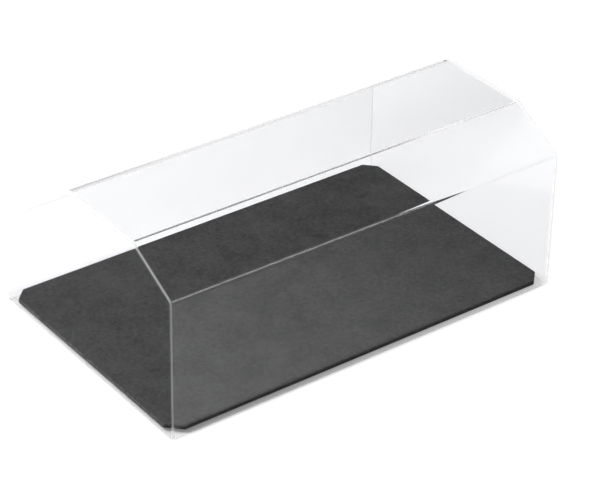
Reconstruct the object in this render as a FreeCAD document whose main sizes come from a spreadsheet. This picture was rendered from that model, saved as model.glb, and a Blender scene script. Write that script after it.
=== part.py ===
# A display case for a model: a clear cover that lifts straight up off a low black base board.
# The cover is one clear sheet, bent into front wall, bevel, top, back slope and back wall, closed by
# two flat end panels that are cut to the same profile and glued over the ends of the sheet.
# The board lies inside the foot of the cover on four round pads.
# Frame: origin on the table in the middle of the case, +X along its length, the upright front
# wall at -Y, +Z up. Sizes are millimetres.
import FreeCAD
import Part
import Sketcher
import os

# The driving sizes: alias, value, what it measures.
DRIVING_SIZES = [
    ("case_length", 330.0, "outside of one end panel to outside of the other"),
    ("case_depth", 209.0, "outside of the front wall to outside of the back wall"),
    ("case_height", 132.0, "table to the outside of the top"),
    ("sheet_thickness", 2.5, "clear sheet of the cover and of its end panels"),
    ("front_wall_height", 108.0, "table to the bend between front wall and bevel"),
    ("bevel_depth", 44.0, "front wall back to the bend between bevel and top"),
    ("top_depth", 78.0, "flat top from the bevel's bend to the back slope's bend"),
    ("back_wall_height", 70.0, "table to the bend between back wall and back slope"),
    ("bend_radius", 1.0, "inside radius of the hot bends"),
    ("polished_edge_break", 0.3, "polished bevel round the outside of an end panel"),
    ("board_thickness", 3.2, "base board"),
    ("board_clearance", 0.9, "gap between the board and the upright walls round it"),
    ("board_corner_cut", 9.0, "legs of the 45 degree corner cuts of the board"),
    ("board_edge_break", 0.4, "bevel round the upper edge of the board"),
    ("pad_height", 2.5, "foot pad, table to board"),
    ("pad_diameter", 12.0, "foot pad"),
    ("pad_inset", 14.0, "edge of the board to the middle of a foot pad"),
    ("pad_edge_break", 0.5, "rounding of a foot pad at the table"),
]

# Sizes that follow from the driving ones, as expressions on the sheet.
SHEET_LENGTH = "(sizes.case_length - 2 * sizes.sheet_thickness)"
BEND_OUTSIDE = "(sizes.bend_radius + sizes.sheet_thickness)"
BOARD_INSET = "(sizes.sheet_thickness + sizes.board_clearance)"
BOARD_HALF_LENGTH = f"(sizes.case_length / 2 - {BOARD_INSET})"
BOARD_HALF_DEPTH = f"(sizes.case_depth / 2 - {BOARD_INSET})"
PAD_ACROSS = f"({BOARD_HALF_LENGTH} - sizes.pad_inset)"
PAD_ALONG = f"({BOARD_HALF_DEPTH} - sizes.pad_inset)"

# The sketch's own origin as a point, and a length too small to matter.
SKETCH_ORIGIN = (-1, 1)
NEARLY_ZERO = 0.001


def start_of(line):
    """The first point of a sketched line."""
    return (line, 1)


def end_of(line):
    """The last point of a sketched line."""
    return (line, 2)


def centre_of(circle):
    """The middle of a sketched circle."""
    return (circle, 3)


def fill_sheet(document):
    """Write the driving sizes into the sheet, one named cell each."""
    sheet = document.addObject("Spreadsheet::Sheet", "sizes")
    for row, (alias, value, meaning) in enumerate(DRIVING_SIZES, start=1):
        sheet.set(f"A{row}", meaning)
        sheet.set(f"B{row}", str(value))
        sheet.setAlias(f"B{row}", alias)
    document.recompute()
    return sheet


def new_body(document, label):
    """Start a piece whose label names its file."""
    body = document.addObject("PartDesign::Body", label)
    body.Label = label
    return body


def new_sketch(body, name, role):
    """Start a sketch on one of the piece's own origin planes."""
    plane = next(item for item in body.Origin.OriginFeatures if item.Role == role)
    sketch = body.newObject("Sketcher::SketchObject", name)
    sketch.AttachmentSupport = [(plane, "")]
    sketch.MapMode = "FlatFace"
    return sketch


def draw_outline(sketch, corners):
    """Draw a closed outline of straight lines, each joined to the next."""
    count = len(corners)
    for index in range(count):
        start = FreeCAD.Vector(*corners[index], 0)
        end = FreeCAD.Vector(*corners[(index + 1) % count], 0)
        sketch.addGeometry(Part.LineSegment(start, end))
    for index in range(count):
        following = start_of((index + 1) % count)
        sketch.addConstraint(Sketcher.Constraint("Coincident", *end_of(index), *following))


def dimension(sketch, name, direction, first, second, expression):
    """Set the distance from one point to another by an expression on the sheet."""
    value = float(sketch.evalExpression(expression))
    number = sketch.addConstraint(Sketcher.Constraint(direction, *first, *second, value))
    sketch.renameConstraint(number, name)
    sketch.setExpression(f"Constraints.{name}", expression)


def draw_case_profile(body, sheet):
    """Draw the outside of the case seen from its end: walls, bevel, top, slope and table line."""
    sketch = new_sketch(body, "profile", "YZ_Plane")
    front = -sheet.case_depth / 2
    bevel_end = front + sheet.bevel_depth
    top_end = bevel_end + sheet.top_depth
    corners = [
        (front, 0),
        (front, sheet.front_wall_height),
        (bevel_end, sheet.case_height),
        (top_end, sheet.case_height),
        (-front, sheet.back_wall_height),
        (-front, 0),
    ]
    draw_outline(sketch, corners)
    wall, bevel, top, slope, back, table = range(len(corners))
    foot = start_of(wall)
    for line in (wall, back):
        sketch.addConstraint(Sketcher.Constraint("Vertical", line))
    for line in (top, table):
        sketch.addConstraint(Sketcher.Constraint("Horizontal", line))
    sketch.addConstraint(Sketcher.Constraint("PointOnObject", *foot, -1))
    dimension(sketch, "front", "DistanceX", foot, SKETCH_ORIGIN, "sizes.case_depth / 2")
    dimension(sketch, "depth", "DistanceX", foot, end_of(back), "sizes.case_depth")
    dimension(sketch, "wall_height", "DistanceY", foot, end_of(wall), "sizes.front_wall_height")
    dimension(sketch, "height", "DistanceY", foot, end_of(bevel), "sizes.case_height")
    dimension(sketch, "bevel", "DistanceX", foot, end_of(bevel), "sizes.bevel_depth")
    dimension(sketch, "top", "DistanceX", start_of(top), end_of(top), "sizes.top_depth")
    dimension(sketch, "back_height", "DistanceY", foot, end_of(slope), "sizes.back_wall_height")
    return sketch


def add_pad(body, sketch, length, reverse=False, symmetric=False):
    """Give a sketch its thickness."""
    pad = body.newObject("PartDesign::Pad", "pad")
    pad.Profile = sketch
    pad.Reversed = reverse
    if symmetric:
        pad.SideType = "Symmetric"
    pad.setExpression("Length", length)
    body.Document.recompute()
    return pad


def add_edge_feature(body, kind, base, wanted, size_name, size):
    """Round or bevel the edges of a feature that the wanted test picks."""
    edges = enumerate(base.Shape.Edges, start=1)
    names = [f"Edge{number}" for number, edge in edges if wanted(edge)]
    feature = body.newObject(f"PartDesign::{kind}", kind.lower())
    feature.Base = (base, names)
    feature.setExpression(size_name, size)
    body.Document.recompute()
    return feature


def is_straight_along(edge, axis):
    """Tell whether an edge is a straight line along an axis."""
    if edge.Curve.TypeId != "Part::GeomLine":
        return False
    return edge.Curve.Direction.cross(axis).Length < NEARLY_ZERO


def is_bend(edge):
    """Tell whether an edge is a corner of the profile above the table."""
    return is_straight_along(edge, FreeCAD.Vector(1, 0, 0)) and edge.CenterOfMass.z > NEARLY_ZERO


def bend_profile(body, pad):
    """Round the four corners of the profile to the outside of the bends."""
    return add_edge_feature(body, "Fillet", pad, is_bend, "Radius", BEND_OUTSIDE)


def make_cover_sheet(document, sheet):
    """One sheet bent four times: the profile is hollowed to a wall that is open below and at its ends."""
    body = new_body(document, "cover_sheet")
    profile = draw_case_profile(body, sheet)
    block = bend_profile(body, add_pad(body, profile, SHEET_LENGTH, symmetric=True))
    open_faces = []
    for number, face in enumerate(block.Shape.Faces, start=1):
        is_end = face.BoundBox.XLength < NEARLY_ZERO
        is_foot = face.BoundBox.ZMax < NEARLY_ZERO
        if is_end or is_foot:
            open_faces.append(f"Face{number}")
    shell = body.newObject("PartDesign::Thickness", "shell")
    shell.Base = (block, open_faces)
    shell.Reversed = True
    shell.Join = "Intersection"
    shell.setExpression("Value", "sizes.sheet_thickness")
    document.recompute()
    return body


def make_end_panel(document, sheet, label, side):
    """A flat panel of the same profile, glued over the sheet's end, its outer rim polished."""
    body = new_body(document, label)
    profile = draw_case_profile(body, sheet)
    pad = add_pad(body, profile, "sizes.sheet_thickness", reverse=side < 0)
    panel = bend_profile(body, pad)
    outer_face = side * sheet.sheet_thickness

    def is_outer_rim(edge):
        return all(abs(vertex.X - outer_face) < NEARLY_ZERO for vertex in edge.Vertexes)

    add_edge_feature(body, "Chamfer", panel, is_outer_rim, "Size", "sizes.polished_edge_break")
    body.setExpression("Placement.Base.x", f"{side} * {SHEET_LENGTH} / 2")
    return body


def make_base_board(document, sheet):
    """A thin board that fits inside the foot of the cover, with cut corners."""
    body = new_body(document, "base_board")
    sketch = new_sketch(body, "outline", "XY_Plane")
    half_length = sheet.case_length / 2
    half_depth = sheet.case_depth / 2
    corners = [
        (-half_length, -half_depth),
        (half_length, -half_depth),
        (half_length, half_depth),
        (-half_length, half_depth),
    ]
    draw_outline(sketch, corners)
    front, right, back, left = range(len(corners))
    for line in (front, back):
        sketch.addConstraint(Sketcher.Constraint("Horizontal", line))
    for line in (right, left):
        sketch.addConstraint(Sketcher.Constraint("Vertical", line))
    dimension(sketch, "left_end", "DistanceX", start_of(front), SKETCH_ORIGIN, BOARD_HALF_LENGTH)
    dimension(sketch, "right_end", "DistanceX", SKETCH_ORIGIN, end_of(front), BOARD_HALF_LENGTH)
    dimension(sketch, "front_edge", "DistanceY", start_of(front), SKETCH_ORIGIN, BOARD_HALF_DEPTH)
    dimension(sketch, "back_edge", "DistanceY", SKETCH_ORIGIN, start_of(back), BOARD_HALF_DEPTH)
    plate = add_pad(body, sketch, "sizes.board_thickness")

    def is_corner(edge):
        return is_straight_along(edge, FreeCAD.Vector(0, 0, 1))

    def is_upper_rim(edge):
        return all(abs(vertex.Z - sheet.board_thickness) < NEARLY_ZERO for vertex in edge.Vertexes)

    cut = add_edge_feature(body, "Chamfer", plate, is_corner, "Size", "sizes.board_corner_cut")
    add_edge_feature(body, "Chamfer", cut, is_upper_rim, "Size", "sizes.board_edge_break")
    body.setExpression("Placement.Base.z", "sizes.pad_height")
    return body


def make_foot_pad(document, label, across, along):
    """A round pad stuck under the board, its lower rim rounded where it meets the table."""
    body = new_body(document, label)
    sketch = new_sketch(body, "outline", "XY_Plane")
    radius = float(sketch.evalExpression("sizes.pad_diameter / 2"))
    upright = FreeCAD.Vector(0, 0, 1)
    rim = sketch.addGeometry(Part.Circle(FreeCAD.Vector(0, 0, 0), upright, radius))
    sketch.addConstraint(Sketcher.Constraint("Coincident", *centre_of(rim), *SKETCH_ORIGIN))
    number = sketch.addConstraint(Sketcher.Constraint("Diameter", rim, 2 * radius))
    sketch.renameConstraint(number, "diameter")
    sketch.setExpression("Constraints.diameter", "sizes.pad_diameter")
    disc = add_pad(body, sketch, "sizes.pad_height")

    def is_lower_rim(edge):
        return edge.BoundBox.ZMax < NEARLY_ZERO

    add_edge_feature(body, "Fillet", disc, is_lower_rim, "Radius", "sizes.pad_edge_break")
    body.setExpression("Placement.Base.x", across)
    body.setExpression("Placement.Base.y", along)
    return body


def make_foot_pads(document):
    """Four pads, one near each corner of the board."""
    pads = []
    for end, across in (("left", f"-{PAD_ACROSS}"), ("right", PAD_ACROSS)):
        for edge, along in (("front", f"-{PAD_ALONG}"), ("back", PAD_ALONG)):
            pads.append(make_foot_pad(document, f"foot_pad_{edge}_{end}", across, along))
    return pads


def write_pieces(document, pieces):
    """Check the whole document and each piece, then write one file for each piece."""
    document.recompute()
    for item in document.Objects:
        if "Invalid" in item.State or "Error" in item.State:
            raise RuntimeError(f"{item.Label} did not build: {item.State}")
    for piece in pieces:
        if piece.Shape.isNull() or not piece.Shape.isValid():
            raise RuntimeError(f"{piece.Label} has no sound shape")
    os.makedirs("parts", exist_ok=True)
    for piece in pieces:
        piece.Shape.exportStep(f"parts/{piece.Label}.step")
        box = piece.Shape.BoundBox
        print(f"{piece.Label}: {piece.Shape.Volume:.1f} mm3, {len(piece.Shape.Solids)} solid,"
              f" x {box.XMin:.2f} to {box.XMax:.2f}, y {box.YMin:.2f} to {box.YMax:.2f},"
              f" z {box.ZMin:.2f} to {box.ZMax:.2f}")


def main():
    document = FreeCAD.newDocument("display_case")
    sheet = fill_sheet(document)
    pieces = [make_cover_sheet(document, sheet)]
    pieces.append(make_end_panel(document, sheet, "left_end_panel", side=-1))
    pieces.append(make_end_panel(document, sheet, "right_end_panel", side=1))
    pieces.append(make_base_board(document, sheet))
    pieces.extend(make_foot_pads(document))
    write_pieces(document, pieces)


main()
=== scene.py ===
# %% [markdown]
# # A clear display case in Blender
# The object is a case for showing a model: a clear acrylic cover, bent from one sheet and closed by two
# flat end panels, standing over a thin black board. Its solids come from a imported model, which is loaded
# first and stays fixed. Everything below is in metres and in that model's frame: +X along the case, the
# upright front wall at -Y, +Z up.

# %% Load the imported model
import math

import bmesh
import bpy
from mathutils import Matrix, Vector


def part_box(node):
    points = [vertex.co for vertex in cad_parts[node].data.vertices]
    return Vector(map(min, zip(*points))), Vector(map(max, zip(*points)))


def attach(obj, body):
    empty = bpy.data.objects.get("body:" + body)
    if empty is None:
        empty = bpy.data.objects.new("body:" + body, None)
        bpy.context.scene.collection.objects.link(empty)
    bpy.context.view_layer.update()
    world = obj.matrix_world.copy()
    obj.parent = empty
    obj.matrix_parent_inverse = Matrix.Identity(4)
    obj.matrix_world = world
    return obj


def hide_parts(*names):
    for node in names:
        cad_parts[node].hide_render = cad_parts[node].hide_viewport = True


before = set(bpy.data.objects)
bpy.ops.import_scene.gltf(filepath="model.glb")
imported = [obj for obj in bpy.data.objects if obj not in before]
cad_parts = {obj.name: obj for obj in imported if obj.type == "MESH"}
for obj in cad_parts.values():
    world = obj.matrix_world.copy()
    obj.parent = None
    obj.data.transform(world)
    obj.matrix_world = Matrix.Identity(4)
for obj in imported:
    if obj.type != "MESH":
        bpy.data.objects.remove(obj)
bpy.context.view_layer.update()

print("nodes:", ", ".join(sorted(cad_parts)))

# %% [markdown]
# ## Sizes
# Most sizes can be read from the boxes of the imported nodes, so nothing is typed twice. Only the line that
# the sheet is bent along has corners that no box shows: the two wall heights, how far the bevel runs
# back, and the flat top.

# %% Read the sizes from the frame
MM = 0.001
panel_low, panel_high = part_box("right_end_panel")
sheet_low, sheet_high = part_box("cover_sheet")
board_low, board_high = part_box("base_board")
pad_low, pad_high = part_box("foot_pad_back_right")

sheet_thickness = panel_high.x - panel_low.x
sheet_length = sheet_high.x - sheet_low.x
case_front = panel_low.y
case_back = panel_high.y
case_height = panel_high.z
front_wall_height = 108 * MM
bevel_depth = 44 * MM
top_depth = 78 * MM
back_wall_height = 70 * MM
bend_inside_radius = 1.0 * MM
print(f"sheet {sheet_thickness / MM:.2f} mm thick, {sheet_length / MM:.0f} mm long")
print(f"case {case_height / MM:.0f} mm high")

# %% [markdown]
# ## The bent line
# The maker heats the sheet along four lines and folds it over an edge. A sheet that is bent hot keeps its
# thickness, so the outside and the inside of every bend turn about the same centre. That makes the
# section easy to describe: five straight runs through six corners. The end panels are cut to the outside
# of that line. The sheet itself follows the line half a thickness further in, so the same corners are
# wanted twice, on the outside and in the middle.

# %% Corners of the section, outside and in the middle of the sheet
outside_corners = [
    Vector((case_front, 0)),
    Vector((case_front, front_wall_height)),
    Vector((case_front + bevel_depth, case_height)),
    Vector((case_front + bevel_depth + top_depth, case_height)),
    Vector((case_back, back_wall_height)),
    Vector((case_back, 0)),
]


def inward(start, end):
    """The unit vector that points into the case from a run of the section."""
    heading = (end - start).normalized()
    return Vector((heading.y, -heading.x))


def move_inward(corners, distance):
    """The same line a little further in: every run moves by the distance, and the corners follow."""
    moved = []
    last = len(corners) - 1
    for index, corner in enumerate(corners):
        before = inward(corners[max(index - 1, 0)], corners[max(index, 1)])
        after = inward(corners[min(index, last - 1)], corners[min(index + 1, last)])
        moved.append(corner + (before + after) * (distance / (1 + before.dot(after))))
    return moved


middle_corners = move_inward(outside_corners, sheet_thickness / 2)
print("middle line:", [tuple(round(value / MM, 2) for value in corner) for corner in middle_corners])

# %% [markdown]
# ## Small helpers for node trees
# Geometry trees, shader trees and node groups are all built in the same way, so one helper serves them:
# it makes a node, sets its plain settings, and fills its inputs by name, from a value or from another
# node's socket. A few more wrap the nodes that come back again and again, so that a tree reads like a
# short calculation.

# %% Helpers for node trees
def add_node(tree, kind, inputs=None, **settings):
    """Make a node; settings are plain attributes, inputs are values or sockets by name or number."""
    node = tree.nodes.new(kind)
    for key, value in settings.items():
        setattr(node, key, value)
    for key, value in (inputs or {}).items():
        if isinstance(value, bpy.types.NodeSocket):
            tree.links.new(value, node.inputs[key])
        else:
            node.inputs[key].default_value = value
    return node


def compute(tree, operation, *values, clamp=False):
    """One step of arithmetic on numbers or sockets."""
    inputs = dict(enumerate(values))
    return add_node(tree, "ShaderNodeMath", operation=operation, use_clamp=clamp, inputs=inputs).outputs[0]


def ramp(tree, value, start, end, start_level=0.0, end_level=1.0):
    """A straight change of level over a stretch, held at both ends."""
    node = add_node(tree, "ShaderNodeMapRange", inputs={
        "Value": value, "From Min": start, "From Max": end, "To Min": start_level, "To Max": end_level})
    return node.outputs["Result"]


def blend(tree, share, first, second):
    """A value between two values, each a number or a socket."""
    inputs = {"Factor": share, "A": first, "B": second}
    return add_node(tree, "ShaderNodeMix", data_type="FLOAT", inputs=inputs).outputs["Result"]


def split(tree, vector):
    """The three parts of a vector, by name."""
    return add_node(tree, "ShaderNodeSeparateXYZ", inputs={0: vector}).outputs


def noise(tree, place, scale, detail, roughness=0.5):
    """Soft random levels over a place."""
    node = add_node(tree, "ShaderNodeTexNoise", inputs={
        "Vector": place, "Scale": scale, "Detail": detail, "Roughness": roughness})
    return node.outputs["Fac"]


def new_group(name, kind, inputs, outputs):
    """An empty node group with named sockets, and the sockets that its own nodes read."""
    tree = bpy.data.node_groups.new(name, kind)
    for socket_name, socket_type in inputs:
        tree.interface.new_socket(socket_name, in_out="INPUT", socket_type=socket_type)
    for socket_name, socket_type in outputs:
        tree.interface.new_socket(socket_name, in_out="OUTPUT", socket_type=socket_type)
    return tree, tree.nodes.new("NodeGroupInput").outputs


def finish_group(tree, results):
    """Lead results, by name, to the group's outputs."""
    end = tree.nodes.new("NodeGroupOutput")
    for name, socket in results.items():
        tree.links.new(socket, end.inputs[name])


# %% [markdown]
# ## From a tree to a mesh
# A geometry tree lives in a modifier. The pieces are handed on as plain meshes, so each tree is hung on
# an object, given its values and then settled: the result is kept and the modifier is dropped.

# %% Helpers that carry a geometry tree to a plain mesh
def new_object(name, mesh):
    """Put a mesh in the scene at the origin."""
    piece = bpy.data.objects.new(name, mesh)
    bpy.context.scene.collection.objects.link(piece)
    return piece


def add_tree(piece, tree, values):
    """Hang a geometry tree on an object and set its inputs by the sockets' identifiers."""
    modifier = piece.modifiers.new(tree.name, "NODES")
    modifier.node_group = tree
    for item in tree.interface.items_tree:
        if item.in_out == "INPUT" and item.name in values:
            modifier[item.identifier] = values[item.name]


def settle(piece):
    """Turn an object with its modifiers into a plain mesh with no modifiers left."""
    evaluated = piece.evaluated_get(bpy.context.evaluated_depsgraph_get())
    mesh = bpy.data.meshes.new_from_object(evaluated)
    piece.modifiers.clear()
    old_mesh = piece.data
    piece.data = mesh
    bpy.data.meshes.remove(old_mesh)
    mesh.name = piece.name
    low = [min(vertex.co[axis] for vertex in mesh.vertices) / MM for axis in range(3)]
    high = [max(vertex.co[axis] for vertex in mesh.vertices) / MM for axis in range(3)]
    reach = " x ".join(f"{a:.2f}..{b:.2f}" for a, b in zip(low, high))
    print(f"{piece.name}: {len(mesh.polygons)} faces, {reach} mm")


def line_mesh(name, points, closed):
    """A mesh of bare edges through a list of points, for a tree to start from."""
    mesh = bpy.data.meshes.new(name)
    edges = [(index, index + 1) for index in range(len(points) - 1)]
    if closed:
        edges.append((len(points) - 1, 0))
    mesh.from_pydata(points, edges, [])
    return mesh


# %% [markdown]
# ## Polished rims
# Cut acrylic is scraped and flame-polished, which leaves a small rounding on its free edges. On clear
# sheet that rounding draws a thin line round the pane, so it is worth real geometry. Only the outer rim
# of each end panel is free: the other edges are glued or stand on the table, and a rounding there would
# open a groove that the real joint doesn't have. So the edges are picked by their place and rounded with
# bmesh, instead of a Bevel modifier that takes every sharp edge.

# %% Round the free rim of a panel
PANEL_POLISH = 0.3 * MM
POLISH_STEPS = 2
SAME_PLACE = 0.01 * MM
RIM_ANGLE = 1.0


def polish_outer_rim(piece, outer_face):
    """Round the edges between the outer face of a panel and its rim."""
    bm = bmesh.new()
    bm.from_mesh(piece.data)
    rim = []
    for edge in bm.edges:
        on_outer_face = all(abs(vertex.co.x - outer_face) < SAME_PLACE for vertex in edge.verts)
        if on_outer_face and len(edge.link_faces) == 2 and edge.calc_face_angle() > RIM_ANGLE:
            rim.append(edge)
    bmesh.ops.bevel(bm, geom=rim, offset=PANEL_POLISH, segments=POLISH_STEPS, profile=0.5, affect="EDGES")
    bm.to_mesh(piece.data)
    bm.free()
    print(f"{piece.name}: {len(rim)} rim edges polished")


# %% [markdown]
# ## Flat panes, smooth bends
# A pane is a perfect mirror only if its normals are perfectly even. Weighted normals let the large flat
# faces decide the normals at their edges, so the panes stay flat in reflection although the bends beside
# them are shaded smooth.

# %% Close a mesh and weigh its normals
SHARP_ANGLE = math.radians(40)
SAME_POINT = 0.001 * MM
CM3 = 1e-6


def make_outward(piece):
    """Merge doubles, point every face outwards, shade smooth and mark the sharp edges."""
    bm = bmesh.new()
    bm.from_mesh(piece.data)
    bmesh.ops.remove_doubles(bm, verts=bm.verts, dist=SAME_POINT)
    bmesh.ops.recalc_face_normals(bm, faces=bm.faces)
    for face in bm.faces:
        face.smooth = True
    for edge in bm.edges:
        edge.smooth = edge.is_manifold and edge.calc_face_angle() < SHARP_ANGLE
    print(f"{piece.name}: volume {bm.calc_volume() / CM3:.1f} cm3")
    bm.to_mesh(piece.data)
    bm.free()


def weigh_normals(piece):
    """Let large faces decide the normals."""
    normals = piece.modifiers.new("flat panes", "WEIGHTED_NORMAL")
    normals.keep_sharp = True
    settle(piece)


# %% [markdown]
# ## The bent cover sheet
# The sheet could be pushed out by hand from a profile, but its shape follows a rule, so Geometry Nodes
# suit it: the middle line gets its bends from Fillet Curve, and Curve to Mesh carries a flat rectangle,
# as long as the sheet and as thick, along that line. Changing the radius or the thickness changes the
# whole sheet. The sheet stops a hair short of the end panels, which leaves the thin glue line that shows
# as an edge on the real cover.

# %% A tree that bends a sheet along a line
def round_corners(tree, line, steps, radius):
    """Turn a line of edges into a curve with rounded corners."""
    curve = add_node(tree, "GeometryNodeMeshToCurve", inputs={"Mesh": line})
    rounded = add_node(tree, "GeometryNodeFilletCurve", mode="POLY", inputs={
        "Curve": curve.outputs[0], "Count": steps, "Radius": radius, "Limit Radius": True})
    return rounded.outputs[0]


def finish_geometry(tree, name, geometry, finish):
    """End a tree with real faces and their material."""
    single = add_node(tree, "GeometryNodeRealizeInstances", inputs={0: geometry})
    finished = add_node(tree, "GeometryNodeSetMaterial", inputs={
        "Geometry": single.outputs[0], "Material": finish})
    finish_group(tree, {name: finished.outputs[0]})


def make_bending_tree():
    """Round the corners of a line and carry the sheet's section along it."""
    tree, given = new_group("bend_sheet", "GeometryNodeTree", [
        ("Line", "NodeSocketGeometry"),
        ("Sheet Length", "NodeSocketFloat"),
        ("Thickness", "NodeSocketFloat"),
        ("Inside Radius", "NodeSocketFloat"),
        ("Bend Steps", "NodeSocketInt"),
        ("Finish", "NodeSocketMaterial"),
    ], [("Sheet", "NodeSocketGeometry")])
    half = compute(tree, "DIVIDE", given["Thickness"], 2.0)
    radius = compute(tree, "ADD", given["Inside Radius"], half)
    bent = round_corners(tree, given["Line"], given["Bend Steps"], radius)
    section = add_node(tree, "GeometryNodeCurvePrimitiveQuadrilateral", inputs={
        "Width": given["Sheet Length"], "Height": given["Thickness"]})
    sheet = add_node(tree, "GeometryNodeCurveToMesh", inputs={
        "Curve": bent, "Profile Curve": section.outputs[0], "Fill Caps": True})
    finish_geometry(tree, "Sheet", sheet.outputs[0], given["Finish"])
    return tree


bending_tree = make_bending_tree()
print("tree:", bending_tree.name, "with", len(bending_tree.nodes), "nodes")

# %% [markdown]
# ## The end panels
# Each end panel is a flat pane, cut to the outside of the same section with the same outside radii, so
# that its rim runs flush with the sheet. The tree rounds only the corners above the table, fills the
# outline and turns it upright. Solidify then gives the pane its thickness.

# %% A tree that cuts a panel to the outline
UPRIGHT = (math.pi / 2, 0.0, math.pi / 2)


def make_panel_tree():
    """Round the upper corners of an outline drawn flat, fill it and stand it up across the case."""
    tree, given = new_group("cut_panel", "GeometryNodeTree", [
        ("Outline", "NodeSocketGeometry"),
        ("Outside Radius", "NodeSocketFloat"),
        ("Bend Steps", "NodeSocketInt"),
        ("Place Along Case", "NodeSocketFloat"),
        ("Finish", "NodeSocketMaterial"),
    ], [("Panel", "NodeSocketGeometry")])
    height = split(tree, add_node(tree, "GeometryNodeInputPosition").outputs[0])["Y"]
    above_table = compute(tree, "GREATER_THAN", height, MM)
    radius = compute(tree, "MULTIPLY", above_table, given["Outside Radius"])
    bent = round_corners(tree, given["Outline"], given["Bend Steps"], radius)
    pane = add_node(tree, "GeometryNodeFillCurve", mode="NGONS", inputs={"Curve": bent})
    shift = add_node(tree, "ShaderNodeCombineXYZ", inputs={"X": given["Place Along Case"]})
    upright = add_node(tree, "GeometryNodeTransform", inputs={
        "Geometry": pane.outputs[0], "Translation": shift.outputs[0], "Rotation": UPRIGHT})
    finish_geometry(tree, "Panel", upright.outputs[0], given["Finish"])
    return tree


panel_tree = make_panel_tree()
print("tree:", panel_tree.name, "with", len(panel_tree.nodes), "nodes")

# %% [markdown]
# ## Marks of handling
# Even a clean acrylic pane isn't perfectly even: wiping leaves faint cloudy patches and hairlines, which
# show only where something bright is mirrored. Both clear materials use the same effect, so it is one
# node group, fed with Object coordinates, that puts out a mask. Each material decides how much roughness
# the mask is worth.

# %% A group for wiped, handled acrylic
CLOUD_LOW, CLOUD_HIGH = 0.5, 0.8
HAIRLINE_LOW, HAIRLINE_HIGH = 0.72, 0.78
WIPE_TURN = (0.5, 0.3, 0.9)
WIPE_STRETCH = (1.0, 14.0, 1.0)


def make_handling_marks():
    """A mask of cloudy wipe marks and a few fine hairlines."""
    tree, given = new_group("handling_marks", "ShaderNodeTree", [
        ("Place", "NodeSocketVector"),
        ("Cloud Scale", "NodeSocketFloat"),
        ("Hairline Scale", "NodeSocketFloat"),
    ], [("Mask", "NodeSocketFloat")])
    cloud = noise(tree, given["Place"], given["Cloud Scale"], detail=5.0, roughness=0.55)
    patches = ramp(tree, cloud, CLOUD_LOW, CLOUD_HIGH)
    stretch = add_node(tree, "ShaderNodeMapping", inputs={
        "Vector": given["Place"], "Rotation": WIPE_TURN, "Scale": WIPE_STRETCH})
    streak = noise(tree, stretch.outputs[0], given["Hairline Scale"], detail=2.0)
    hairlines = ramp(tree, streak, HAIRLINE_LOW, HAIRLINE_HIGH)
    finish_group(tree, {"Mask": compute(tree, "MAXIMUM", patches, hairlines)})
    return tree


handling_marks = make_handling_marks()
print("group:", handling_marks.name)

# %% [markdown]
# ## Clear acrylic
# Acrylic bends light a little less than window glass (index 1.49) and is almost colourless. The
# Principled shader with full transmission gives its mirror and its clear body. One thing needs care:
# lamps can't be found through a refracting solid, so the board would stand in the dark. Shadow rays and
# the soft light that bounces about therefore go straight through a plain Transparent shader, which takes
# a little light away, as the real sheet does. So do rays that have already passed a see-through cut edge.

# %% Make the two clear acrylics
ACRYLIC_INDEX = 1.49
CLEAR_TINT = (0.982, 0.984, 0.992, 1)
LIGHT_LEFT_PER_FACE = 0.955
HAIRLINES = 60.0
ANY = 0.5


def grey(level):
    """A neutral colour."""
    return (level, level, level, 1)


def new_material(name):
    """An empty node material, its tree, its output and the place on the object that its textures read."""
    material = bpy.data.materials.new(name)
    material.use_nodes = True
    tree = material.node_tree
    tree.nodes.clear()
    place = add_node(tree, "ShaderNodeTexCoord").outputs["Object"]
    return material, tree, tree.nodes.new("ShaderNodeOutputMaterial").inputs["Surface"], place


def two_tone(tree, tone, dark, light, low=0.35, high=0.65):
    """A ramp between two colours over the middle of a noise."""
    colours = add_node(tree, "ShaderNodeValToRGB", inputs={"Fac": tone})
    for element, position, colour in zip(colours.color_ramp.elements, (low, high), (dark, light)):
        element.position = position
        element.color = colour
    return colours.outputs["Color"]


def mix_shaders(tree, share, first, second):
    """A shader node between two shader nodes."""
    return add_node(tree, "ShaderNodeMixShader", inputs={0: share, 1: first.outputs[0], 2: second.outputs[0]})


def add_bump(tree, height, strength, depth):
    """Normals that follow a height."""
    return add_node(tree, "ShaderNodeBump", inputs={
        "Height": height, "Strength": strength, "Distance": depth}).outputs["Normal"]


def make_clear_acrylic(name, most_roughness, cloud_scale):
    """Polished clear acrylic with faint handling marks."""
    material, tree, surface, place = new_material(name)
    marks = add_node(tree, "ShaderNodeGroup", node_tree=handling_marks, inputs={
        "Place": place, "Cloud Scale": cloud_scale, "Hairline Scale": HAIRLINES})
    roughness = compute(tree, "MULTIPLY", marks.outputs["Mask"], most_roughness)
    pane = add_node(tree, "ShaderNodeBsdfPrincipled", inputs={
        "Base Color": CLEAR_TINT, "Roughness": roughness, "IOR": ACRYLIC_INDEX, "Transmission Weight": 1.0})
    path = add_node(tree, "ShaderNodeLightPath").outputs
    soft = compute(tree, "MAXIMUM", path["Is Shadow Ray"], path["Is Diffuse Ray"])
    by_edge = compute(tree, "GREATER_THAN", path["Transparent Depth"], ANY)
    passes = compute(tree, "MAXIMUM", soft, by_edge)
    clear = add_node(tree, "ShaderNodeBsdfTransparent", inputs={"Color": grey(LIGHT_LEFT_PER_FACE)})
    mix = mix_shaders(tree, passes, pane, clear)
    tree.links.new(mix.outputs[0], surface)
    return material


sheet_acrylic = make_clear_acrylic("clear_bent_acrylic", most_roughness=0.012, cloud_scale=18.0)
panel_acrylic = make_clear_acrylic("clear_end_acrylic", most_roughness=0.010, cloud_scale=22.0)
print("materials:", sheet_acrylic.name, panel_acrylic.name)

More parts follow.
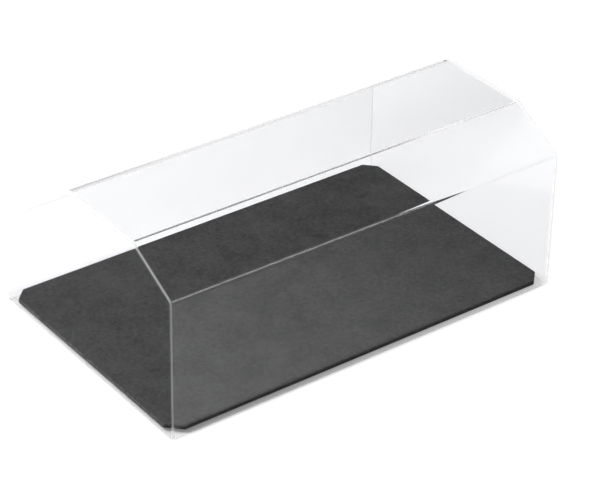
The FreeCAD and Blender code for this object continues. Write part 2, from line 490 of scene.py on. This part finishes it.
# %% [markdown]
# ## Cut edges and cemented seams
# A saw leaves the narrow faces of the panes matt. Such a face is pale and a little milky: against the
# black board it is a light grey line, against white it all but disappears. Pure refraction would pipe
# light along the rim instead and turn it into a bright or black band. So the cut faces get a finish of
# their own: rough, pale, and mostly see-through by Alpha. The scraper takes more off the two arrises, so
# the rim is palest along its middle. A clear pane also gathers light and lets it out at its cut edges,
# which a little emission stands for. The seams, where the sheet is cemented to the end panels, and the
# feet, which stand on the table, are clearer still.

# %% Make the cut edge, the seam and the foot
EDGE_PALE = (0.95, 0.955, 0.96, 1)
EDGE_DEEP = (0.86, 0.88, 0.89, 1)
RIM_MIDDLE = (panel_low.x + panel_high.x) / 2
RIM_HALF = sheet_thickness / 2
RIM_PALE_SHARE = 0.3
ARRIS_LEVEL = 0.25
GATHERED_LIGHT = 0.2
SCRAPE_SCALE = 2200.0
NOISE_LOW, NOISE_HIGH = 0.3, 0.7


def palest_in_middle(tree, place):
    """A mask across the rim of an end panel: one along its middle, little at its arrises."""
    either_end = compute(tree, "ABSOLUTE", split(tree, place)["X"])
    across = compute(tree, "SUBTRACT", either_end, RIM_MIDDLE)
    distance = compute(tree, "ABSOLUTE", across)
    return ramp(tree, distance, RIM_PALE_SHARE * RIM_HALF, RIM_HALF, 1.0, ARRIS_LEVEL)


def make_cut_edge(name, least_cover, most_cover, is_rim_finish=False):
    """A sawn and scraped face of acrylic, seen through by more than half."""
    material, tree, surface, place = new_material(name)
    scrape = noise(tree, place, SCRAPE_SCALE, detail=3.0, roughness=0.6)
    colour = two_tone(tree, scrape, EDGE_DEEP, EDGE_PALE)
    cover = ramp(tree, scrape, NOISE_LOW, NOISE_HIGH, least_cover, most_cover)
    if is_rim_finish:
        cover = compute(tree, "MULTIPLY", cover, palest_in_middle(tree, place))
    roughness = ramp(tree, scrape, NOISE_LOW, NOISE_HIGH, start_level=0.42, end_level=0.60)
    bump = add_bump(tree, scrape, strength=0.2, depth=0.05 * MM)
    # Cut faces, seams and feet all glow a little by emission: painted light for light gathered in the pane.
    shader = add_node(tree, "ShaderNodeBsdfPrincipled", inputs={
        "Base Color": colour, "Roughness": roughness, "IOR": ACRYLIC_INDEX, "Alpha": cover,
        "Normal": bump, "Emission Color": colour, "Emission Strength": GATHERED_LIGHT})
    tree.links.new(shader.outputs[0], surface)
    return material


cut_edge = make_cut_edge("sawn_acrylic_edge", least_cover=0.34, most_cover=0.40, is_rim_finish=True)
cemented_seam = make_cut_edge("cemented_acrylic_seam", least_cover=0.01, most_cover=0.04)
standing_foot = make_cut_edge("worn_acrylic_foot", least_cover=0.22, most_cover=0.30)
print("materials:", cut_edge.name, cemented_seam.name, standing_foot.name)

# %% [markdown]
# ## Bending and cutting
# Now the trees get their lines. The sheet is bent, closed and weighed, and then its feet and seams get
# their finish. A panel is cut, given its thickness, polished round its outer rim, and then its rim and
# foot get theirs. The faces are told apart by where they point, so no face has to be picked by number.

# %% Bend the sheet and cut the panels
BEND_STEPS = 20
GLUE_LINE = 0.04 * MM
FACES_ALMOST_STRAIGHT = 0.9
FACES_STRAIGHT = 0.98
FOOT_HEIGHT = 0.1 * MM


def dress_faces(piece, finish, is_cut):
    """Give the faces that a test picks out a finish of their own."""
    mesh = piece.data
    mesh.materials.append(finish)
    slot = len(mesh.materials) - 1
    count = 0
    for face in mesh.polygons:
        if is_cut(face):
            face.material_index = slot
            count += 1
    print(f"{piece.name}: {count} faces of {finish.name}")


def is_rim(face):
    """A narrow face of an end panel, with its polished rounding."""
    return abs(face.normal.x) < FACES_STRAIGHT


def is_seam(face):
    """An end of the sheet, cemented to a panel."""
    return abs(face.normal.x) > FACES_ALMOST_STRAIGHT


def is_foot(face):
    """A face that stands on the table."""
    return face.normal.z < -FACES_ALMOST_STRAIGHT and face.center.z < FOOT_HEIGHT


def build_bent_sheet():
    """Front wall, bevel, top, back slope and back wall as one sheet."""
    points = [(0, corner.x, corner.y) for corner in middle_corners]
    sheet = new_object("bent_sheet", line_mesh("bent_line", points, closed=False))
    add_tree(sheet, bending_tree, {
        "Sheet Length": sheet_length - 2 * GLUE_LINE,
        "Thickness": sheet_thickness,
        "Inside Radius": bend_inside_radius,
        "Bend Steps": BEND_STEPS,
        "Finish": sheet_acrylic,
    })
    settle(sheet)
    make_outward(sheet)
    weigh_normals(sheet)
    dress_faces(sheet, standing_foot, is_foot)
    dress_faces(sheet, cemented_seam, is_seam)
    return sheet


def build_end_panel(side):
    """A flat pane with the outline of the section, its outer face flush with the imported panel."""
    low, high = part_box(f"{side}_end_panel")
    points = [(corner.x, corner.y, 0) for corner in outside_corners]
    panel = new_object(f"end_pane_{side}", line_mesh("outline", points, closed=True))
    add_tree(panel, panel_tree, {
        "Outside Radius": bend_inside_radius + sheet_thickness,
        "Bend Steps": BEND_STEPS,
        "Place Along Case": (low.x + high.x) / 2,
        "Finish": panel_acrylic,
    })
    wall = panel.modifiers.new("sheet thickness", "SOLIDIFY")
    wall.thickness = high.x - low.x
    wall.offset = 0
    settle(panel)
    make_outward(panel)
    polish_outer_rim(panel, low.x if side == "left" else high.x)
    make_outward(panel)
    weigh_normals(panel)
    dress_faces(panel, cut_edge, is_rim)
    dress_faces(panel, standing_foot, is_foot)
    return panel


bent_sheet = build_bent_sheet()
end_panels = {side: build_end_panel(side) for side in ("left", "right")}

# %% [markdown]
# ## Grain of pressed board and rubber
# Hard board is pressed from fine fibre and painted, and the pads are pressed rubber. Both have an even
# surface that breaks up into soft blotches and a fine grain when it is looked at closely. One group gives
# both: a tone for the colour and a height for the bump.

# %% A group for pressed grain
def make_pressed_grain():
    """Soft blotches with a fine grain over them, as a tone and as a height."""
    tree, given = new_group("pressed_grain", "ShaderNodeTree", [
        ("Place", "NodeSocketVector"),
        ("Blotch Scale", "NodeSocketFloat"),
        ("Grain Scale", "NodeSocketFloat"),
        ("Grain Share", "NodeSocketFloat"),
    ], [("Tone", "NodeSocketFloat"), ("Height", "NodeSocketFloat")])
    blotch = noise(tree, given["Place"], given["Blotch Scale"], detail=6.0, roughness=0.65)
    grain = noise(tree, given["Place"], given["Grain Scale"], detail=3.0, roughness=0.6)
    finish_group(tree, {"Tone": blend(tree, given["Grain Share"], blotch, grain), "Height": grain})
    return tree


pressed_grain = make_pressed_grain()
print("group:", pressed_grain.name)

# %% [markdown]
# ## Black board
# The board is hard fibreboard painted matt black. Its upper face is slightly cloudy, with a fine grain.
# It was sawn to length after painting, so its two ends are bare fibre, lighter and a little brown, up to
# a thin rubbed line along their upper edge. The long sides are painted a darker black than the top, which
# is painted shade for the front edge. The place on the board tells these apart, so Object coordinates are
# enough and no mask has to be painted.

# %% Paint the board
RUBBED_EDGE = 0.45 * MM
RUBBED_SOFTNESS = 0.25
BARE_END = 0.3 * MM
PAINT_DARK = (0.020, 0.020, 0.0205, 1)
PAINT_LIGHT = (0.078, 0.078, 0.0785, 1)
# The long sides take a darker copy of the top's black: painted shade for the front edge.
SHADED_SIDE_DARK = (0.012, 0.012, 0.0125, 1)
SHADED_SIDE_LIGHT = (0.034, 0.034, 0.035, 1)
FIBRE_DARK = (0.060, 0.055, 0.054, 1)
FIBRE_LIGHT = (0.190, 0.175, 0.172, 1)


def mix_colours(tree, share, first, second):
    """A colour between two colours."""
    node = add_node(tree, "ShaderNodeMix", data_type="RGBA")
    for key, socket in (("Factor", share), ("A", first), ("B", second)):
        tree.links.new(socket, node.inputs[key])
    return node.outputs["Result"]


def add_grain(tree, place, blotch_scale, grain_scale, grain_share):
    """The pressed grain on a material's own scale."""
    return add_node(tree, "ShaderNodeGroup", node_tree=pressed_grain, inputs={
        "Place": place,
        "Blotch Scale": blotch_scale,
        "Grain Scale": grain_scale,
        "Grain Share": grain_share,
    }).outputs


def make_board_paint():
    """Matt black paint over fibre, bare at the two ends, and darker on the long sides as painted shade."""
    material, tree, surface, place = new_material("black_painted_board")
    grain = add_grain(tree, place, blotch_scale=45.0, grain_scale=420.0, grain_share=0.55)
    face_paint = two_tone(tree, grain["Tone"], PAINT_DARK, PAINT_LIGHT)
    # Painted shade: the long sides get a darker copy of the face paint.
    shaded_side_paint = two_tone(tree, grain["Height"], SHADED_SIDE_DARK, SHADED_SIDE_LIGHT)
    fibre = two_tone(tree, grain["Height"], FIBRE_DARK, FIBRE_LIGHT)
    parts = split(tree, place)
    upper = ramp(tree, parts["Z"], board_high.z - RUBBED_EDGE, board_high.z - RUBBED_EDGE * RUBBED_SOFTNESS)
    either_end = compute(tree, "ABSOLUTE", parts["X"])
    at_end = compute(tree, "GREATER_THAN", either_end, board_high.x - BARE_END)
    side = mix_colours(tree, at_end, shaded_side_paint, fibre)
    colour = mix_colours(tree, upper, side, face_paint)
    roughness = ramp(tree, grain["Tone"], NOISE_LOW, NOISE_HIGH, start_level=0.68, end_level=0.82)
    bump = add_bump(tree, grain["Height"], strength=0.25, depth=0.15 * MM)
    shader = add_node(tree, "ShaderNodeBsdfPrincipled", inputs={
        "Base Color": colour, "Roughness": roughness, "Specular IOR Level": 0.3, "Normal": bump})
    tree.links.new(shader.outputs[0], surface)
    return material


board_paint = make_board_paint()
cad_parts["base_board"].material_slots[0].material = board_paint
print("material:", board_paint.name)

# %% [markdown]
# ## Foot pads
# Four round pads are stuck under the board. They are one shape, repeated, so the shape is turned once and
# a geometry tree sets it on the corners of a grid. The tree ends in Realize Instances, because an export
# keeps only real faces.

# %% Rubber for the pads
RUBBER_DARK = (0.024, 0.024, 0.025, 1)
RUBBER_LIGHT = (0.038, 0.038, 0.039, 1)


def make_pad_rubber():
    """Soft black rubber with a pressed grain."""
    material, tree, surface, place = new_material("black_pad_rubber")
    grain = add_grain(tree, place, blotch_scale=300.0, grain_scale=2500.0, grain_share=0.5)
    colour = two_tone(tree, grain["Tone"], RUBBER_DARK, RUBBER_LIGHT)
    bump = add_bump(tree, grain["Height"], strength=0.3, depth=0.1 * MM)
    shader = add_node(tree, "ShaderNodeBsdfPrincipled", inputs={
        "Base Color": colour, "Roughness": 0.85, "Normal": bump})
    tree.links.new(shader.outputs[0], surface)
    return material


pad_rubber = make_pad_rubber()
print("material:", pad_rubber.name)

# %% [markdown]
# ## One pad
# A moulded pad is a turned shape: a flat disc whose lower rim is rounded, so that it doesn't catch on the
# table. A spin operator could turn it, but orders its faces differently in every run. So the outline is
# written as a line of points, each point is carried round the upright axis as a ring, and faces join the
# rings.

# %% Turn one pad
PAD_EDGE = 0.5 * MM
PAD_EDGE_STEPS = 6
PAD_TURN_STEPS = 48


def pad_outline():
    """How far out and how far up the rounded rim and the side of a pad run."""
    radius = (pad_high.x - pad_low.x) / 2
    outline = []
    for step in range(PAD_EDGE_STEPS + 1):
        angle = step / PAD_EDGE_STEPS * math.pi / 2
        outwards = radius - PAD_EDGE + PAD_EDGE * math.sin(angle)
        upwards = PAD_EDGE - PAD_EDGE * math.cos(angle)
        outline.append((outwards, upwards))
    return outline + [(radius, pad_high.z - pad_low.z)]


def turn_pad():
    """One pad, turned about its own middle."""
    outline = pad_outline()
    points = []
    for outwards, upwards in outline:
        for step in range(PAD_TURN_STEPS):
            turn = step / PAD_TURN_STEPS * 2 * math.pi
            points.append((outwards * math.cos(turn), outwards * math.sin(turn), upwards))
    below = len(points)
    above = below + 1
    top_ring = below - PAD_TURN_STEPS
    points += [(0, 0, 0), (0, 0, outline[-1][1])]
    faces = []
    for step in range(PAD_TURN_STEPS):
        following = (step + 1) % PAD_TURN_STEPS
        faces.append((below, following, step))
        for ring in range(0, top_ring, PAD_TURN_STEPS):
            upper = ring + PAD_TURN_STEPS
            faces.append((ring + step, ring + following, upper + following, upper + step))
        faces.append((above, top_ring + step, top_ring + following))
    mesh = bpy.data.meshes.new("one_pad")
    mesh.from_pydata(points, [], faces)
    return new_object("one_pad", mesh)


# %% [markdown]
# ## Four pads
# The pads sit at the four corners of a rectangle, the same distance in from both edges of the board. A
# grid with two points each way has just these corners, so it carries the pads and its size comes from the
# packed pad's place.

# %% Set the pads under the board
def make_pad_tree():
    """Four pads on the corners of a grid."""
    tree, given = new_group("set_pads", "GeometryNodeTree", [
        ("Start", "NodeSocketGeometry"),
        ("Pad", "NodeSocketObject"),
        ("Across", "NodeSocketFloat"),
        ("Along", "NodeSocketFloat"),
        ("Finish", "NodeSocketMaterial"),
    ], [("Pads", "NodeSocketGeometry")])
    corners = add_node(tree, "GeometryNodeMeshGrid", inputs={
        "Size X": given["Across"], "Size Y": given["Along"], "Vertices X": 2, "Vertices Y": 2})
    pad = add_node(tree, "GeometryNodeObjectInfo", inputs={"Object": given["Pad"]})
    pads = add_node(tree, "GeometryNodeInstanceOnPoints", inputs={
        "Points": corners.outputs["Mesh"], "Instance": pad.outputs["Geometry"]})
    finish_geometry(tree, "Pads", pads.outputs[0], given["Finish"])
    return tree


def build_foot_pads():
    """The four pads as one piece that moves with the board."""
    one_pad = turn_pad()
    middle = (pad_low + pad_high) / 2
    pads = new_object("foot_pads", bpy.data.meshes.new("foot_pads"))
    add_tree(pads, make_pad_tree(), {
        "Pad": one_pad, "Across": 2 * middle.x, "Along": 2 * middle.y, "Finish": pad_rubber})
    settle(pads)
    bpy.data.objects.remove(one_pad)
    return pads


foot_pads = build_foot_pads()

# %% [markdown]
# ## Hand the pieces to the frame
# Each new piece rides on the body that it moves with and stands for the imported node that it replaces. The
# board keeps its imported solid, which already has the right shape.

# %% Ride and replace
def hand_over(piece, body, slot, *nodes):
    """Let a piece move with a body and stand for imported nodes."""
    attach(piece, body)
    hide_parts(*nodes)
    print(f"{piece.name} rides on {body} for {', '.join(nodes)}")


hand_over(bent_sheet, "cover", "clear_sheet", "cover_sheet")
for panel_side, panel in end_panels.items():
    hand_over(panel, "cover", "clear_panel", f"{panel_side}_end_panel")
pad_nodes = sorted(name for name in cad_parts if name.startswith("foot_pad"))
hand_over(foot_pads, "base", "pad_rubber", *pad_nodes)

# %% [markdown]
# ## What a ray has been through
# Clear sheet is photographed against white, in a room that is darker than the white sweep, so that the
# panes don't mirror too much. The floor and the room therefore need to know how a ray came to them. Seen
# directly or through clear sheet, they are white. Seen in a mirror, they are a dim room. Light that was
# mirrored more than once has been piped along a rim. Glossy Depth counts every mirror on the way, also
# the one inside a pane, which the type of the last ray misses. This is a stage trick: a real room would
# need flags and panels in the right places to do the same.

# %% Sort rays by their path
MORE_THAN_ONE = 1.5


def sort_rays(tree):
    """Three masks: rays that see the white sweep, that come by a mirror, that were piped along a rim."""
    path = add_node(tree, "ShaderNodeLightPath").outputs
    mirrors = compute(tree, "GREATER_THAN", path["Glossy Depth"], ANY)
    piped = compute(tree, "GREATER_THAN", path["Glossy Depth"], MORE_THAN_ONE)
    not_soft = compute(tree, "SUBTRACT", 1.0, path["Is Diffuse Ray"])
    mirrored = compute(tree, "MULTIPLY", mirrors, not_soft)
    looks = compute(tree, "MAXIMUM", path["Is Camera Ray"], path["Is Transmission Ray"])
    direct = compute(tree, "SUBTRACT", looks, mirrored, clamp=True)
    return direct, mirrored, piped


def distance_along(tree, place, direction):
    """How far a place lies along a direction."""
    node = add_node(tree, "ShaderNodeVectorMath", operation="DOT_PRODUCT", inputs={0: place, 1: direction})
    return node.outputs["Value"]


# %% [markdown]
# ## Floor
# The case stands on a wide white sweep. The camera sees it a little brighter than paint, so that it is
# white up to the edge of the picture, but under the case most of that is lit paint and keeps the shadow.
# That extra brightness is painted light: it grows away from the key lamp and, under the case, towards the
# right, and it is lowered behind the case as painted shade.
# Far away the sweep is even white. What the panes mirror of the floor decides how they look, so it is set
# place by place, by comparing renders with the photograph: in front of the case it falls off from left to
# right and is dark far away, with a patch of light at the front right; behind the case it is light; at
# the left it is white, so that the left pane stays clear; elsewhere beside the case it is dim. The real
# studio isn't known, so these levels are a fit and not a survey of it.

# %% How bright the floor is
FLOOR_PAINT = 0.95
FLOOR_BOUNCE = 0.45
SWEEP = (0.75, 1.3)
GLOW_REACH = 3 * MM
SIDE_MIRROR = 0.08
LEFT_MIRROR = 0.95
RIM_BELOW = 1.0
BEHIND_SOFT = 20 * MM

# Ramps along X or Y: start and end in metres, then the levels at the start and at the end.
# The first ramp paints light into the shadow under the case; the third and fourth paint shade behind it.
PAINTED_LIGHT_UNDER_BY_X = (-0.15, 0.15, 0.16, 0.46)
AROUND_BY_X = (-0.25, 0.45, 0.32, 0.67)
PAINTED_SHADE_BEHIND_BY_X = (-0.16, -0.06, 0.35, 0.9)
PAINTED_SHADE_BEHIND_BY_Y = (0.05, 0.14, 0.0, 0.18)
FRONT_BY_X = (-0.15, 0.18, 0.70, 0.05)
BACK_BY_Y = (0.11, 0.20, 0.08, 1.15)
RIM_BACK_BY_X = (-0.08, 0.04, 0.22, 1.05)
BEYOND_BY_Y = (0.40, 0.60)
BEYOND_LEVEL = 0.4
NOT_LEFT_BY_X = (-0.20, -0.15)
LEFT_START = board_high.y + 7 * MM
LEFT_END = board_high.y + 15 * MM

# Where the front wall starts to mirror the floor, where that turns dark, and the patch of light across it.
FRONT_START = case_front - 8 * MM
FRONT_START_SOFT = 0.4 * MM
FRONT_END = case_front - 132 * MM
FRONT_END_SOFT = 6 * MM
PATCH_ACROSS = (0.766, -0.642, 0)
PATCH_START = Vector((0.224, -0.237, 0)).dot(Vector(PATCH_ACROSS))
PATCH_SOFT = 2 * MM
PATCH_LEVEL = 0.5


def floor_in_front(tree, place, parts):
    """The level of the floor in front of the case, for the front wall's mirror."""
    lit = ramp(tree, parts["X"], *FRONT_BY_X)
    too_far = ramp(tree, parts["Y"], FRONT_END, FRONT_END - FRONT_END_SOFT)
    across = distance_along(tree, place, PATCH_ACROSS)
    patch = ramp(tree, across, PATCH_START - PATCH_SOFT, PATCH_START + PATCH_SOFT, 0.0, PATCH_LEVEL)
    return compute(tree, "ADD", blend(tree, too_far, lit, 0.0), patch)


def floor_in_mirrors(tree, place, piped):
    """The level of the floor for rays that come by way of a mirror or along a rim."""
    parts = split(tree, place)
    in_front = ramp(tree, parts["Y"], FRONT_START, FRONT_START - FRONT_START_SOFT)
    behind = ramp(tree, parts["Y"], case_back - BEHIND_SOFT, case_back + BEHIND_SOFT)
    near_back = ramp(tree, parts["Y"], *BACK_BY_Y)
    far_back = blend(tree, ramp(tree, parts["Y"], *BEYOND_BY_Y), near_back, BEYOND_LEVEL)
    back = blend(tree, behind, SIDE_MIRROR, far_back)
    left = ramp(tree, parts["Y"], LEFT_START, LEFT_END, SIDE_MIRROR, LEFT_MIRROR)
    around = blend(tree, ramp(tree, parts["X"], *NOT_LEFT_BY_X), left, back)
    mirrored = blend(tree, in_front, around, floor_in_front(tree, place, parts))
    along_rim = blend(tree, behind, RIM_BELOW, ramp(tree, parts["X"], *RIM_BACK_BY_X))
    return blend(tree, piped, mirrored, along_rim)


def floor_glow(tree, place):
    """Extra white as painted light: little under the case, more to the right, more outside its footprint and
    away from the key lamp, and less behind it, as painted shade.
    """
    offset = add_node(tree, "ShaderNodeVectorMath", operation="ABSOLUTE", inputs={0: place})
    outside = add_node(tree, "ShaderNodeVectorMath", operation="SUBTRACT", inputs={
        0: offset.outputs[0], 1: (board_high.x, case_back, 0)})
    gaps = split(tree, outside.outputs[0])
    gap = compute(tree, "MAXIMUM", gaps["X"], gaps["Y"])
    parts = split(tree, place)
    # Painted light under the case, rising from left to right, so the shadow there is lighter at the right.
    under = ramp(tree, parts["X"], *PAINTED_LIGHT_UNDER_BY_X)
    around = ramp(tree, parts["X"], *AROUND_BY_X)
    # Painted shade: less glow behind the case, most from the middle to the right.
    painted_shade_behind = compute(tree, "MULTIPLY", ramp(tree, parts["X"], *PAINTED_SHADE_BEHIND_BY_X), ramp(tree, parts["Y"], *PAINTED_SHADE_BEHIND_BY_Y))
    return blend(tree, ramp(tree, gap, 0.0, GLOW_REACH), under, compute(tree, "SUBTRACT", around, painted_shade_behind))


# %% [markdown]
# ## Laying the floor
# The sweep is one large flat face just below the feet of the case, so that the two never share a plane.
# It belongs to the stage, not to the part. Its material joins the three ways in which the floor can be
# met.

# %% Lay the floor
FLOOR_SIZE = 6.0
FLOOR_DROP = 0.2 * MM


def make_floor_finish():
    """White seen directly, dim in mirrors, plain paint for the light that bounces."""
    material, tree, surface, place = new_material("pale_floor")
    direct, mirrored, piped = sort_rays(tree)
    paint = add_node(tree, "ShaderNodeBsdfDiffuse", inputs={"Color": grey(FLOOR_PAINT)})
    glow = add_node(tree, "ShaderNodeEmission", inputs={"Strength": floor_glow(tree, place)})
    near = add_node(tree, "ShaderNodeAddShader", inputs={0: paint.outputs[0], 1: glow.outputs[0]})
    distance = add_node(tree, "ShaderNodeVectorMath", operation="LENGTH", inputs={0: place})
    is_far = ramp(tree, distance.outputs["Value"], *SWEEP)
    sweep = add_node(tree, "ShaderNodeEmission", inputs={"Strength": 1.0})
    white = mix_shaders(tree, is_far, near, sweep)
    bounce = add_node(tree, "ShaderNodeBsdfDiffuse", inputs={"Color": grey(FLOOR_BOUNCE)})
    dim = add_node(tree, "ShaderNodeEmission", inputs={"Strength": floor_in_mirrors(tree, place, piped)})
    inner = mix_shaders(tree, mirrored, bounce, dim)
    outer = mix_shaders(tree, direct, inner, white)
    tree.links.new(outer.outputs[0], surface)
    return material


def build_floor():
    """A wide flat sheet just under the case."""
    bm = bmesh.new()
    bmesh.ops.create_grid(bm, x_segments=1, y_segments=1, size=FLOOR_SIZE)
    bmesh.ops.translate(bm, verts=bm.verts, vec=(0, 0, -FLOOR_DROP))
    mesh = bpy.data.meshes.new("floor")
    bm.to_mesh(mesh)
    bm.free()
    mesh.materials.append(make_floor_finish())
    floor = new_object("floor", mesh)
    return floor


print("floor:", build_floor().name)

# %% [markdown]
# ## Room
# Past the floor the sweep goes on as a white world. In mirrors it is a dim room that is lighter towards
# the back left, which gives the flat top its soft change from left to right, and that opens up far to the
# sides and the front, so that the case also reads from there. A pale panel overhead is mirrored at the
# right end of the bevel. As with the floor, the levels are a fit to the photograph.

# %% Build the room
ROOM_SOFT_LIGHT = 0.35
OVERHEAD_ACROSS = (1.0, -1.136, 0)

# Ramps over the parts of the direction looked in: start, end, and the levels there.
SIDEWAYS_BY_X = (0.52, 0.595, 1.0, 0.0)
BACKWARDS_BY_Y = (-0.1, 0.7, 0.04, 0.46)
OPEN_BY_REACH = (0.72, 0.85, 0.02, 0.45)
OVERHEAD_BY_REACH = (0.662, 0.664, 0.0, 0.35)
OVERHEAD_BY_Z = (0.55, 0.65)
RIM_ROOM_BY_X = (0.545, 0.565, 0.55, 0.92)


def room_in_mirrors(tree, towards, piped):
    """The level of the room for rays that come by way of a mirror or along a rim."""
    parts = split(tree, towards)
    sideways = ramp(tree, parts["X"], *SIDEWAYS_BY_X)
    backwards = ramp(tree, parts["Y"], *BACKWARDS_BY_Y)
    to_front = compute(tree, "MULTIPLY", parts["Y"], -1.0)
    away = compute(tree, "MAXIMUM", compute(tree, "ABSOLUTE", parts["X"]), to_front)
    wall = compute(tree, "MULTIPLY_ADD", sideways, backwards, ramp(tree, away, *OPEN_BY_REACH))
    across = distance_along(tree, towards, OVERHEAD_ACROSS)
    beyond = ramp(tree, across, *OVERHEAD_BY_REACH)
    panelled = compute(tree, "MULTIPLY_ADD", beyond, ramp(tree, parts["Z"], *OVERHEAD_BY_Z), wall)
    return blend(tree, piped, panelled, ramp(tree, parts["X"], *RIM_ROOM_BY_X))


def build_room():
    """White behind the case, soft light for the board, a dim room in mirrors."""
    world = bpy.data.worlds.new("studio")
    bpy.context.scene.world = world
    world.use_nodes = True
    tree = world.node_tree
    tree.nodes.clear()
    output = tree.nodes.new("ShaderNodeOutputWorld")
    direct, mirrored, piped = sort_rays(tree)
    towards = add_node(tree, "ShaderNodeTexCoord").outputs["Generated"]
    unseen = blend(tree, mirrored, ROOM_SOFT_LIGHT, room_in_mirrors(tree, towards, piped))
    strength = blend(tree, direct, unseen, 1.0)
    background = add_node(tree, "ShaderNodeBackground", inputs={"Color": grey(1.0), "Strength": strength})
    tree.links.new(background.outputs[0], output.inputs["Surface"])
    return world


print("world:", build_room().name)

# %% [markdown]
# ## Lamps
# A large softbox above the back left lights the board and lets its front edge and the gap below it fall
# dark, as in the photograph. Two small ones are there only to be mirrored: one at the front right draws
# the light line along the bend between front wall and bevel, and a weak one over the right end touches
# the bend between bevel and top.

# %% Hang the lamps
CASE_MIDDLE = (0, 0, 0)
FRONT_BEND = (0, -0.1, 0.11)
TOP_BEND = (0.15, -0.06, 0.13)


def add_softbox(name, place, target, size, power, lights_board=True):
    """A soft rectangular lamp that looks at a point of the case."""
    light = bpy.data.lights.new(name, "AREA")
    light.shape = "RECTANGLE"
    light.size, light.size_y = size
    light.energy = power
    lamp = bpy.data.objects.new(name, light)
    lamp.location = place
    aim = Vector(place) - Vector(target)
    lamp.rotation_euler = aim.to_track_quat("Z", "Y").to_euler()
    lamp.visible_camera = False
    lamp.visible_transmission = False
    lamp.visible_diffuse = lights_board
    bpy.context.scene.collection.objects.link(lamp)


add_softbox("key_softbox", (-0.60, 0.40, 0.72), CASE_MIDDLE, size=(0.5, 0.46), power=8.0)
add_softbox("bend_softbox", (0.57, -1.05, 0.62), FRONT_BEND,
            size=(0.40, 0.6), power=3.3, lights_board=False)
add_softbox("top_bend_softbox", (0.40, 0.10, 0.52), TOP_BEND,
            size=(0.25, 0.20), power=0.35, lights_board=False)

# %% [markdown]
# ## Camera
# The photograph looks from the front left and from above, through a long lens from about two metres, so
# that upright lines stay nearly upright. The angles come from matching the corners of the case.

# %% Place the camera
CAMERA_LENS = 143.57
SENSOR_WIDTH = 36.0
NEAREST_SEEN = 0.01
CAMERA_AZIMUTH = math.radians(-37.255)
CAMERA_ELEVATION = math.radians(31.962)
CAMERA_ROLL = math.radians(1.085)
CAMERA_DISTANCE = 1.8142
CAMERA_TARGET = Vector((0.05419, 0.04218, 0))


def add_camera():
    """Look at the target from the given angles."""
    level = math.cos(CAMERA_ELEVATION)
    across = math.sin(CAMERA_AZIMUTH) * level
    forwards = -math.cos(CAMERA_AZIMUTH) * level
    back = Vector((across, forwards, math.sin(CAMERA_ELEVATION)))
    level_right = Vector((0, 0, 1)).cross(back).normalized()
    level_up = back.cross(level_right)
    right = math.cos(CAMERA_ROLL) * level_right + math.sin(CAMERA_ROLL) * level_up
    up = math.cos(CAMERA_ROLL) * level_up - math.sin(CAMERA_ROLL) * level_right
    data = bpy.data.cameras.new("camera")
    data.lens = CAMERA_LENS
    data.sensor_width = SENSOR_WIDTH
    data.clip_start = NEAREST_SEEN
    camera = bpy.data.objects.new("camera", data)
    turn = Matrix((right, up, back)).transposed().to_4x4()
    camera.matrix_world = Matrix.Translation(CAMERA_TARGET + back * CAMERA_DISTANCE) @ turn
    bpy.context.scene.collection.objects.link(camera)
    bpy.context.scene.camera = camera
    return camera


print("camera at", tuple(round(value, 3) for value in add_camera().matrix_world.translation))

# %% [markdown]
# ## Colour and light paths
# Standard view keeps the colours as they are written. Light that is piped along a clear edge is mirrored
# inside it dozens of times, so the usual limits would turn the rims black; they are raised.

# %% Set view and light paths
MOST_BOUNCES = 48
scene = bpy.context.scene
scene.view_settings.view_transform = "Standard"
for limit in ("max_bounces", "glossy_bounces", "transmission_bounces", "transparent_max_bounces"):
    setattr(scene.cycles, limit, MOST_BOUNCES)
print("bounces:", scene.cycles.max_bounces)
